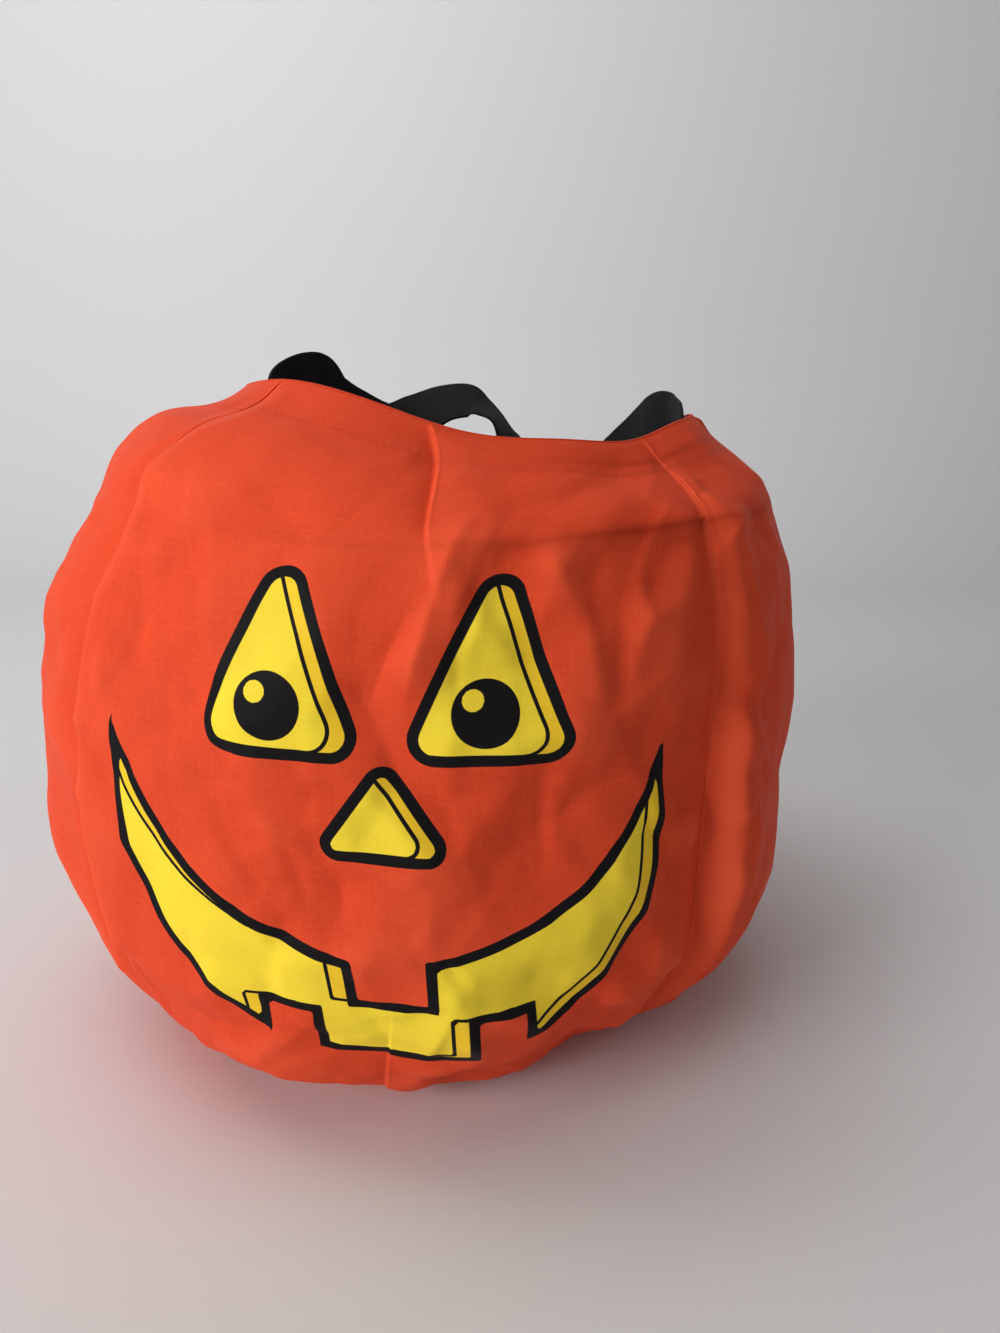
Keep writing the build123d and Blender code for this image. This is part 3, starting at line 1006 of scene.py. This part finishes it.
def base_points(turn):
    """Rows of the base: a slack disc of cloth whose seam stands out as a small rounded lip.

    Each row takes a share of the way from the middle to the panels' lowest ring, millimetres further out and
    a height in millimetres. The upper side ripples by a sine of the turn near its edge.
    """
    upper = [(share, 0.0, base_upper_height) for share in np.linspace(0, 0.97, base_rows)]
    lip_path = [(0.1, 1.7), (1.2, 2.0), (2.1, 1.6), (2.2, 0.9), (1.5, 0.25), (0.4, 0.03)]
    lip = [(1.0, out, height) for out, height in lip_path]
    lower = [(share, 0.0, 0.0) for share in np.linspace(0.97, 0, base_rows)]
    share, out, height = np.array(upper + lip + lower).T[:, :, None]
    edge = smooth_cloth(turn, np.zeros_like(turn))
    middle = edge.mean(axis=0)
    ripple = 0.3 * np.sin(13 * turn) * smooth(share, 0.3, 0.9) * (height == base_upper_height)
    x = middle[0] + (edge[:, 0] - middle[0]) * share + out * mm * np.cos(turn)
    y = middle[1] + (edge[:, 1] - middle[1]) * share + out * mm * np.sin(turn)
    return np.stack([x, y, (height + ripple) * mm + 0 * x], axis=-1)


# Rows of the tape on its outer and on its inner side, and columns round the wire
tape_rows = 361
tape_columns = 18


def tape_points():
    """Rows of the tape that holds the hoop: a cloth sleeve round the wire, open at the ferrule.

    The outer skin goes from one end to the other and the inner one comes back. The section is a circle that is
    drawn out towards the wall, where the sleeve is sewn to it.
    """
    ferrule_middle, ferrule_half = middle_and_half("hoop_ferrule")
    ferrule_turn = math.atan2(ferrule_middle[1] - wire_middle[1], ferrule_middle[0] - wire_middle[0])
    gap = (ferrule_half[0] + 6 * mm) / hoop_ring_radius
    turn = np.linspace(ferrule_turn + gap, ferrule_turn + full_turn - gap, tape_rows)
    turn = np.concatenate([turn, turn[::-1]])[:, None]
    outer = (np.arange(2 * tape_rows) < tape_rows)[:, None]
    round_wire = ring_turns(tape_columns)
    flange = 1.1 * mm * np.clip(np.cos(round_wire), 0, 1) ** 6
    crinkle = 0.10 * mm * np.sin(turn * 230) * np.cos(round_wire)
    radius = np.where(outer, tape_radius - 0.12 * mm + flange + crinkle, wire_half[2] + 0.06 * mm)
    out = hoop_ring_radius + radius * np.cos(round_wire)
    up = radius * np.sin(round_wire)
    points = np.stack(
        [wire_middle[0] + out * np.cos(turn), wire_middle[1] + out * np.sin(turn), hoop_height + up], axis=-1)
    return points, turn * hoop_ring_radius + 0 * round_wire, radius * round_wire


# The strap from its left end over the back to its right end: turn in degrees, height of its upper edge over
# the hinge in millimetres, and how far that edge leans outwards in degrees
strap_stations = [
    (0, 9.5, 0),
    (9, 19.5, -2.5),
    (16.5, 23.8, 0),
    (24.5, 26.0, 3),
    (31.5, 25.6, 4),
    (37, 19.5, 6),
    (48, 13.5, 15),
    (59, 9.0, 24),
    (68, 12.0, 36),
    (78, 15.4, 48),
    (87, 15.6, 53),
    (91.5, 11.0, 68),
    (96, 5.5, 78),
    (100, 0.0, 62),
    (106, -6.5, 34),
    (119, -12.5, 6),
    (135, -7.0, 2),
    (147, 3.0, 8),
    (157, 10.6, 11),
    (164, 13.0, 8),
    (171, 11.6, -1),
    (180, 9.5, 0),
]
strap_half_depth = 57.5 * mm
strap_inset = 3.0 * mm
strap_thickness = 1.2 * mm
strap_clearance = 0.35 * mm
strap_rows = 301
strap_tip_rows = 13
strap_tip_turn = math.radians(86)


def strap_line():
    """Points along the middle of the strap, its width's direction and its half width.

    The plan is half an ellipse, drawn in a little beside the sewn ends. Past each hinge the strap ends in half
    a disc about the hinge, so it looks the same there however far it has swung.
    """
    turn, top, lean = np.array(strap_stations).T
    turn, lean = np.radians(turn), np.radians(lean)
    half = strap_width / 2
    span = strap_span - end_half[0] - strap_clearance - strap_thickness / 2
    out = np.stack([-np.cos(turn), np.sin(turn), np.zeros_like(turn)], axis=1)
    width = np.cos(lean)[:, None] * [0, 0, 1] + np.sin(lean)[:, None] * out
    middle = np.stack(
        [
            mouth_lean - span * np.cos(turn),
            strap_half_depth * np.sin(turn),
            hinge_height + top * mm - half * np.cos(lean),
        ],
        axis=1,
    )
    stations = np.concatenate([middle, width * half], axis=1)[:, None, :]
    line = smooth_line(stations, np.linspace(0, 1, strap_rows))
    middle, width = line[:, :3], line[:, 3:]
    plan = (middle[:, :2] - [mouth_lean, 0]) / [span, strap_half_depth]
    plan /= np.linalg.norm(plan, axis=1, keepdims=True)
    middle[:, 0] = mouth_lean + (span - strap_inset * smooth(plan[:, 1], 0.12, 0.40)) * plan[:, 0]
    middle[:, 1] = strap_half_depth * plan[:, 1]
    past = half * np.sin(np.linspace(strap_tip_turn, 0, strap_tip_rows + 1))[:, None]
    ends = []
    for place, run in ((middle[0], middle[0] - middle[1]), (middle[-1], middle[-1] - middle[-2])):
        run = run * [0, 1, 1]
        ends.append(place + past * run / np.linalg.norm(run))
    middle = np.concatenate([ends[0][:-1], middle, ends[1][-2::-1]])
    first_tip = np.repeat(width[:1], strap_tip_rows, 0)
    last_tip = np.repeat(width[-1:], strap_tip_rows, 0)
    width = np.concatenate([first_tip, width, last_tip])
    tip = np.sqrt(half**2 - past[:-1, 0] ** 2)
    half_width = np.concatenate([tip, np.full(strap_rows, half), tip[::-1]])
    run = np.gradient(middle, axis=0)
    run /= np.linalg.norm(run, axis=1, keepdims=True)
    width -= run * np.sum(width * run, axis=1, keepdims=True)
    width /= np.linalg.norm(width, axis=1, keepdims=True)
    return middle, run, width, half_width


def strap_points():
    """Rows along the strap and columns round its section, with the place of each point on its cloth.

    The section is a flat strip, thinner along both edges and nipped where they are stitched.
    """
    middle, run, width, half_width = strap_line()
    face = np.cross(run, width)
    over = np.linspace(-1, 1, 27)
    nip = 0.16 * mm * bump(np.abs(over), 0.82, 0.05)
    half_thickness = strap_thickness / 2 * (1 - 0.35 * np.abs(over) ** 10) - nip
    column = np.concatenate([over, over[::-1]])
    offset = np.concatenate([half_thickness, -half_thickness[::-1]])
    points = middle[:, None] + width[:, None] * (half_width[:, None] * column)[..., None]
    points = points + face[:, None] * offset[:, None]
    along = path_lengths(middle[:, None], 0)
    place = np.stack(
        [half_width[:, None] * column, along + 0 * column, np.zeros((len(middle), len(column)))], axis=-1)
    return points, place


def strap_end_sheet(side, rim):
    """Outer and inner sides of a sewn end: flat towards the strap, and curved to lie against the hem."""
    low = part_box("left_strap_end" if side < 0 else "right_strap_end")[0][2]
    over, up = np.meshgrid(np.linspace(-1, 1, 15) * end_half[1], np.linspace(low, rim - 1.0 * mm, 30))
    curved = np.sqrt((strap_span + end_half[0] - 0.15 * mm) ** 2 - over**2)
    flat = np.full_like(over, strap_span - end_half[0])
    frayed = 0.25 * mm * np.sin(over / (0.9 * mm)) * smooth(-up, -low - 2 * mm, -low)
    outer = np.stack([mouth_lean + side * curved, over, up + frayed], axis=-1)
    inner = np.stack([mouth_lean + side * flat, over, up + frayed], axis=-1)
    return outer, inner, over, up


def resample(line, pitch):
    """Points spaced evenly along a line, with the direction of the line at each."""
    reach = path_lengths(line[:, None], 0)[:, 0]

    def line_at(places):
        """Points of the line at distances from its start."""
        return np.stack([np.interp(places, reach, line[:, axis]) for axis in range(3)], axis=1)

    places = np.arange(pitch / 2, reach[-1], pitch)
    run = line_at(places + pitch / 3) - line_at(places - pitch / 3)
    return line_at(places), run / np.linalg.norm(run, axis=1, keepdims=True)


# Thickness of a stitch at each of its rings, as shares of the thread, and the points in a ring
stitch_ring_shares = np.array([0.3, 0.85, 1.0, 0.85, 0.3])
stitch_sides = 5


def stitch_mesh(name, points, runs, ups, length, diameter):
    """Stitches as spindles of a few rings: thick in the middle, with thin ends that dive into the cloth."""
    rings = len(stitch_ring_shares)
    ring = np.linspace(-1, 1, rings)
    around = ring_turns(stitch_sides)
    thick = stitch_ring_shares * diameter / 2
    dive = -0.9 * diameter * ring**4 + 0.05 * diameter
    sides = np.cross(runs, ups)
    vertices = (
        points[:, None, None]
        + runs[:, None, None] * (ring * length / 2)[None, :, None, None]
        + ups[:, None, None] * (dive[:, None] + thick[:, None] * np.cos(around))[None, :, :, None]
        + sides[:, None, None] * (thick[:, None] * np.sin(around))[None, :, :, None]
    )
    quads = outward(vertices[0].reshape(-1, 3), grid_quads(rings, stitch_sides, closed=True))
    count = rings * stitch_sides
    first = np.arange(len(points)) * count
    all_quads = (quads[None] + first[:, None, None]).reshape(-1, 4)
    start_caps = first[:, None] + np.arange(stitch_sides)
    end_caps = first[:, None] + np.arange(count - 1, count - 1 - stitch_sides, -1)
    caps = np.concatenate([start_caps, end_caps])
    return add_object(name, vertices.reshape(-1, 3), all_quads, caps.tolist())


def hem_stitch_line():
    """The line of the hem's stitches on the outside of the cloth, with the cloth's normals."""
    lines, normals = [], []
    for node, turn in sorted(panel_turns.items(), key=lambda item: item[1]):
        points, fields = panel_cloth(turn, node)
        along = fields["place"][..., 1]
        from_rim = along[-1] - along
        row = np.argmax(from_rim < hem_depth - 0.9 * mm, axis=0)
        column = np.arange(points.shape[1])
        lines.append(points[row, column])
        normals.append(grid_normals(points)[row, column])
    return np.concatenate(lines), np.concatenate(normals)


class PAIL_OT_panels(bpy.types.Operator):
    """Builds the four sewn panels of cloth, with the printed one at the front"""

    bl_idname = "pail.panels"
    bl_label = "Cloth panels"

    def execute(self, context):
        colours = context.scene.pail_colours
        plain = orange_cloth("orange_taffeta", colours)
        printed = orange_cloth("printed_taffeta", colours, printed=True)
        for node, turn in panel_turns.items():
            points, fields = panel_cloth(turn, node)
            inner = points - cloth_thickness * grid_normals(points)
            piece = cloth_sheet(f"cloth_{node}", points, inner, fields)
            finish_piece(piece, printed if node == "front_panel" else plain, replaced=[node])
        return {"FINISHED"}


class PAIL_OT_hem(bpy.types.Operator):
    """Builds the hem that folds over the rim and the base with its seam lip"""

    bl_idname = "pail.hem"
    bl_label = "Hem and base"

    def execute(self, context):
        cloth = orange_cloth("hem_taffeta", context.scene.pail_colours)
        turn = ring_turns(ring_columns)
        points, section = hem_points(turn)
        along = path_lengths(section[:, None], 0) + 0 * turn
        # 0.5 is painted shade for the hem's layers.
        fields = cloth_fields(turn * mouth_radius + 0 * along, along, 0.5)
        finish_piece(ring_skin("mouth_hem", points, fields), cloth, replaced=["mouth_facing"])

        points = base_points(turn)
        # 0.3 is painted shade for the base.
        fields = cloth_fields(points[..., 0], points[..., 1], 0.3)
        piece = ring_skin("base_cloth", points, fields, joined=False)
        merge_poles(piece)
        finish_piece(piece, cloth, replaced=["base_panel"])
        return {"FINISHED"}


class PAIL_OT_hoop(bpy.types.Operator):
    """Builds the tape round the hoop and gives the wire and its ferrule their steel"""

    bl_idname = "pail.hoop"
    bl_label = "Hoop and tape"

    def execute(self, context):
        colours = context.scene.pail_colours
        points, across, along = tape_points()
        # 0.35 is painted shade for the tape's layers.
        piece = ring_skin("hoop_tape", points, cloth_fields(across, along, 0.35))
        finish_piece(piece, orange_cloth("tape_taffeta", colours), replaced=["hoop_channel"])
        steel = drawn_steel(colours)
        for node in ("hoop_wire", "hoop_ferrule"):
            mesh = frame["nodes"][node].data
            mesh.materials.clear()
            mesh.materials.append(steel)
        return {"FINISHED"}


class PAIL_OT_strap(bpy.types.Operator):
    """Builds the loose black strap and its two sewn ends"""

    bl_idname = "pail.strap"
    bl_label = "Strap"

    def execute(self, context):
        black = strap_cloth(context.scene.pail_colours)
        points, place = strap_points()
        piece = tube_skin("strap", points, {"place": place})
        finish_piece(piece, black, body="handle", replaced=["handle_strap"])
        for side, node in ((-1, "left_strap_end"), (1, "right_strap_end")):
            rim = smooth_cloth(np.array([math.pi if side < 0 else 0.0]), np.ones(1))[0, 2]
            outer, inner, over, up = strap_end_sheet(side, rim)
            fields = {"place": np.stack([over, up, np.zeros_like(up)], axis=-1)}
            piece = cloth_sheet(f"sewn_{node}", outer, inner, fields)
            finish_piece(piece, black, replaced=[node])
        return {"FINISHED"}


class PAIL_OT_thread(bpy.types.Operator):
    """Builds the stitches of the hem"""

    bl_idname = "pail.thread"
    bl_label = "Thread"

    def execute(self, context):
        sizes, colours = context.scene.pail_sizes, context.scene.pail_colours
        orange = sewing_thread("orange_thread", tuple(colours.deep_orange), tuple(colours.pale_orange))
        line, normals = hem_stitch_line()
        points, runs = resample(line, sizes.stitch_pitch)
        nearest = np.argmin(np.linalg.norm(points[:, None] - line[None], axis=2), axis=1)
        piece = stitch_mesh(
            "hem_stitches", points, runs, normals[nearest], sizes.stitch_length, sizes.thread_diameter)
        finish_piece(piece, orange)
        return {"FINISHED"}


# The stage, in metres: a floor that bends up into a wall.
# The shares of its length say where the bend starts and ends.
stage_half_width = 2.2
floor_front = -1.6
floor_depth = 2.3
bend_radius = 0.3
wall_rise = 2.0
bend_start_share = 0.45
bend_end_share = 0.75
stage_rows = 40

# Lamps: name, place, target, size and power
pail_middle = (0, 0, 0.1)
lamps = (
    ("window_light", (-1.1, -0.97, 0.5), pail_middle, 0.8, 16.5),
    ("fill_light", (1.3, -0.5, 0.5), pail_middle, 1.2, 2.2),
    ("top_light", (-0.2, -0.1, 1.4), pail_middle, 1.2, 5.0),
    ("wall_light", (-0.5, 0.1, 1.1), (-0.3, 1.0, 0.45), 0.8, 4.5),
)
room_colour = (1.0, 0.98, 0.96, 1)
room_strength = 0.08


def add_floor(colour):
    """Adds the floor with the wall behind it."""
    sweep = np.linspace(0, 1, stage_rows)
    bend = np.clip((sweep - bend_start_share) / (bend_end_share - bend_start_share), 0, 1) * math.pi / 2
    depth = floor_front + np.minimum(sweep, bend_start_share) / bend_start_share * floor_depth
    depth = depth + bend_radius * np.sin(bend)
    up_wall = np.maximum(sweep - bend_end_share, 0) / (1 - bend_end_share)
    height = bend_radius * (1 - np.cos(bend)) + up_wall * wall_rise
    depth, side = np.meshgrid(depth, [-stage_half_width, stage_half_width], indexing="ij")
    height = np.broadcast_to(height[:, None], depth.shape)
    vertices = np.stack([side, depth, height], axis=-1).reshape(-1, 3)
    floor = add_object("floor", vertices, grid_quads(stage_rows, 2))
    finish = Finish("pale_floor", Roughness=0.6, Base_Color=tuple(colour))
    floor.data.materials.append(finish.material)


def add_lamp(scene, name, place, target, size, power):
    """Adds a square lamp at a place, turned to its target."""
    lamp = bpy.data.lights.new(name, "AREA")
    lamp.energy = power
    lamp.size = size
    holder = bpy.data.objects.new(name, lamp)
    holder.location = place
    aim = np.array(target) - np.array(place)
    pitch = math.atan2(math.hypot(aim[0], aim[1]), -aim[2])
    holder.rotation_euler = (pitch, 0, math.atan2(aim[1], aim[0]) - math.pi / 2)
    scene.collection.objects.link(holder)


def add_room_light(scene):
    """Adds the soft light of the room."""
    world = bpy.data.worlds.new("soft_room")
    world.use_nodes = True
    background = world.node_tree.nodes["Background"]
    background.inputs["Color"].default_value = room_colour
    background.inputs["Strength"].default_value = room_strength
    scene.world = world


def add_camera(scene, sizes):
    """Adds the camera and looks through it."""
    camera = bpy.data.cameras.new("photo_camera")
    camera.lens = sizes.lens
    camera.sensor_width = 36.0
    camera.sensor_fit = "AUTO"
    camera.clip_start = 0.01
    holder = bpy.data.objects.new("photo_camera", camera)
    holder.location = sizes.camera_place
    holder.rotation_euler = (math.pi / 2 - sizes.camera_pitch, 0, -sizes.camera_yaw)
    scene.collection.objects.link(holder)
    scene.camera = holder


class PAIL_OT_stage(bpy.types.Operator):
    """Sets out the floor, the lights and the camera"""

    bl_idname = "pail.stage"
    bl_label = "Floor, light and camera"

    def execute(self, context):
        scene = context.scene
        scene.view_settings.view_transform = "Standard"
        add_floor(scene.pail_colours.floor)
        for lamp in lamps:
            add_lamp(scene, *lamp)
        add_room_light(scene)
        add_camera(scene, scene.pail_sizes)
        return {"FINISHED"}


class PAIL_PT_sidebar(bpy.types.Panel):
    """Lists the pail's pieces in the sidebar"""

    bl_label = "Pail"
    bl_idname = "PAIL_PT_sidebar"
    bl_space_type = "VIEW_3D"
    bl_region_type = "UI"
    bl_category = "Pail"

    def draw(self, context):
        for operator in operators:
            self.layout.operator(operator.bl_idname)


operators = (PAIL_OT_panels, PAIL_OT_hem, PAIL_OT_hoop, PAIL_OT_strap, PAIL_OT_thread, PAIL_OT_stage)
classes = (PailColours, PailSizes) + operators + (PAIL_PT_sidebar,)


def register():
    """Adds the colours, the sizes, the operators and the sidebar."""
    for item in classes:
        bpy.utils.register_class(item)
    bpy.types.Scene.pail_colours = bpy.props.PointerProperty(type=PailColours)
    bpy.types.Scene.pail_sizes = bpy.props.PointerProperty(type=PailSizes)


def unregister():
    """Takes them away again."""
    del bpy.types.Scene.pail_sizes
    del bpy.types.Scene.pail_colours
    for item in reversed(classes):
        bpy.utils.unregister_class(item)


def main():
    """Builds the pail and its stage."""
    register()
    bpy.ops.pail.panels()
    bpy.ops.pail.hem()
    bpy.ops.pail.hoop()
    bpy.ops.pail.strap()
    bpy.ops.pail.thread()
    bpy.ops.pail.stage()


if __name__ == "__main__":
    main()
